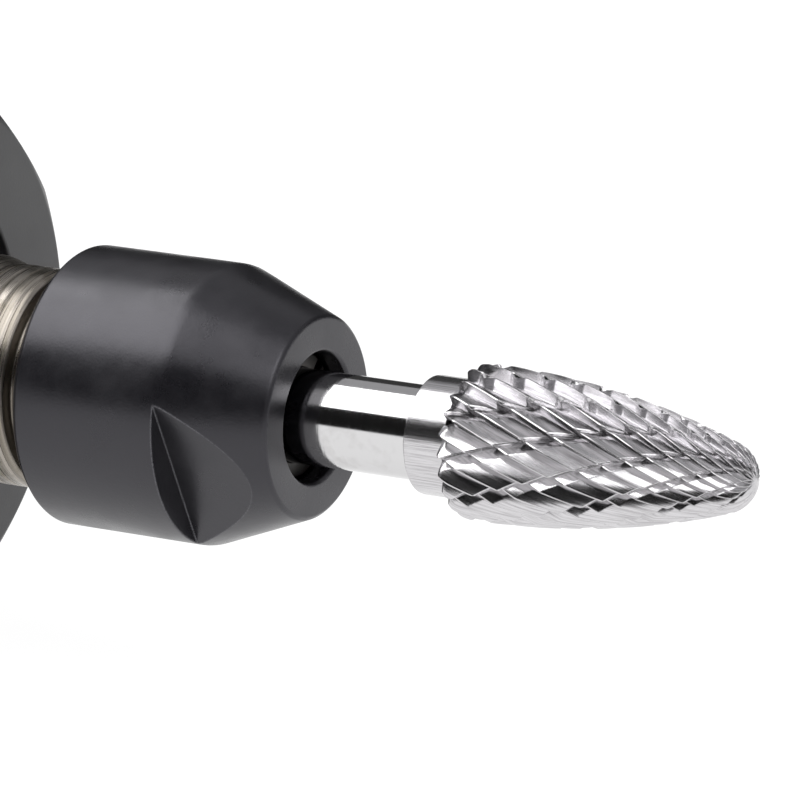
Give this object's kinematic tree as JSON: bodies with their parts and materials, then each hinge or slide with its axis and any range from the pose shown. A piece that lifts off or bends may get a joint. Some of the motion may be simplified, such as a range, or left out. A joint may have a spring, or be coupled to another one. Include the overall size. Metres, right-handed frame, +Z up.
{
  "type": "die grinder",
  "caption": "Straight air-driven die grinder with a lever throttle, a collet chuck and a tree-shaped carbide burr, built as an assembly of its working parts.",
  "frame": {"origin": "centre of the air inlet's mouth, on the spindle axis", "axes": "+X along the spindle axis towards the burr, +Z up with the throttle lever on top, +Y completes a right-handed frame"},
  "size_m": [0.1985, 0.043, 0.062],
  "materials": {
    "black_oxide_steel": "black oxide over fine turning marks, satin",
    "polished_shank": "ground and polished, bright",
    "ground_carbide": "ground tungsten carbide, bright cutting edges",
    "hardened_steel": "hardened and ground",
    "turned_steel": "fine turned, faint straw tint",
    "bearing_steel": "lapped",
    "spring_steel": "drawn wire or strip",
    "pin_steel": "ground pin stock",
    "vane_composite": "cloth-filled phenolic",
    "cage_plastic": "glass-filled nylon",
    "gasket_paper": "fibre gasket sheet",
    "cap_finish": "dark grey satin coating",
    "housing_finish": "dark grey hard anodised, fine bead-blasted",
    "deflector_finish": "black anodised, fine bead-blasted",
    "grip_rubber": "moulded, matt, fine pebble texture",
    "lever_finish": "dark grey satin coating over pressed steel",
    "latch_finish": "zinc plated strip",
    "brass_fittings": "turned brass",
    "seal_rubber": "nitrile",
    "felt": "pressed wool felt",
    "regulator_finish": "turned brass, notched rim",
    "inlet_steel": "zinc plated, satin",
    "screen_wire": "perforated stainless sheet"
  },
  "bodies": {
    "housing": {"housing": "housing_finish", "front_cap": "cap_finish", "dust_seal": "felt", "wave_washer": "spring_steel", "motor_cylinder": "hardened_steel", "cylinder_dowel": "hardened_steel", "rear_end_plate": "hardened_steel", "front_end_plate": "hardened_steel", "motor_gasket": "gasket_paper", "front_bearing_outer_ring": "bearing_steel", "rear_bearing_outer_ring": "bearing_steel", "grip_sleeve": "grip_rubber", "lever_pin": "pin_steel", "lever_pin_clip": "spring_steel", "plunger_bushing": "brass_fittings", "plunger_oring": "seal_rubber", "valve_seat": "brass_fittings", "valve_spring": "spring_steel", "valve_cap": "black_oxide_steel", "valve_cap_oring": "seal_rubber", "regulator_set_screw": "black_oxide_steel", "inlet_bushing": "inlet_steel", "inlet_screen": "screen_wire", "inlet_oring": "seal_rubber", "deflector_oring": "seal_rubber", "muffler_felt": "felt", "exhaust_screen": "screen_wire"},
    "spindle": {"collet_body": "turned_steel", "rotor": "turned_steel", "rotor_vanes": "vane_composite", "front_bearing_inner_ring": "bearing_steel", "rear_bearing_inner_ring": "bearing_steel"},
    "front_cage": {"front_bearing_cage": "cage_plastic", "front_bearing_balls": "bearing_steel"},
    "rear_cage": {"rear_bearing_cage": "cage_plastic", "rear_bearing_balls": "bearing_steel"},
    "collet": {"collet": "hardened_steel", "collet_snap_ring": "spring_steel"},
    "nut": {"collet_nut": "black_oxide_steel"},
    "burr": {"burr_shank": "polished_shank", "burr_head": "ground_carbide"},
    "lever": {"throttle_lever": "lever_finish", "latch_pin": "pin_steel", "latch_spring": "spring_steel"},
    "latch": {"safety_latch": "latch_finish"},
    "valve": {"throttle_plunger": "pin_steel", "throttle_valve": "brass_fittings", "valve_face_seal": "seal_rubber"},
    "regulator": {"regulator_dial": "regulator_finish", "regulator_oring": "seal_rubber"},
    "deflector": {"exhaust_deflector": "deflector_finish"}
  },
  "joints": [
    {"name": "spindle_spin", "type": "hinge", "parent": "housing", "child": "spindle", "pos_m": [0.1, 0, 0], "axis": [1, 0, 0], "continuous": true},
    {"name": "front_cage_spin", "type": "hinge", "parent": "housing", "child": "front_cage", "pos_m": [0.113, 0, 0], "axis": [1, 0, 0], "continuous": true},
    {"name": "rear_cage_spin", "type": "hinge", "parent": "housing", "child": "rear_cage", "pos_m": [0.0695, 0, 0], "axis": [1, 0, 0], "continuous": true},
    {"name": "nut_advance", "type": "slide", "parent": "spindle", "child": "collet", "axis": [1, 0, 0], "range_m": [0, 0.0015]},
    {"name": "nut_turn", "type": "hinge", "parent": "collet", "child": "nut", "pos_m": [0.16, 0, 0], "axis": [1, 0, 0], "range_deg": [0, 540]},
    {"name": "burr_slide", "type": "slide", "parent": "spindle", "child": "burr", "axis": [1, 0, 0], "range_m": [0, 0.04]},
    {"name": "lever_press", "type": "hinge", "parent": "housing", "child": "lever", "pos_m": [0.039, 0, 0.0225], "axis": [0, 1, 0], "range_deg": [0, 9], "stiffness_Nm_per_rad": 0.5, "springref_deg": -22.92},
    {"name": "plunger_slide", "type": "slide", "parent": "housing", "child": "valve", "axis": [0, 0, -1], "range_m": [0, 0.00195], "deforming": ["valve_spring"]},
    {"name": "latch_fold", "type": "hinge", "parent": "lever", "child": "latch", "pos_m": [0.08519, 0, 0.03133], "axis": [0, 1, 0], "range_deg": [0, 33]},
    {"name": "regulator_turn", "type": "hinge", "parent": "housing", "child": "regulator", "pos_m": [0.0585, 0, 0.0124], "axis": [0, 1, 0], "range_deg": [0, 90]},
    {"name": "deflector_turn", "type": "hinge", "parent": "housing", "child": "deflector", "pos_m": [0.02, 0, 0], "axis": [1, 0, 0], "continuous": true}
  ],
  "couplings": [
    {"joint": "front_cage_spin", "follows": "spindle_spin", "ratio": 0.36778},
    {"joint": "rear_cage_spin", "follows": "spindle_spin", "ratio": 0.36},
    {"joint": "nut_turn", "follows": "nut_advance", "rad_per_m": 6283.2},
    {"joint": "plunger_slide", "follows": "lever_press", "m_per_rad": 0.01226},
    {"joint": "latch_fold", "follows": "lever_press", "ratio": 3.56}
  ]
}
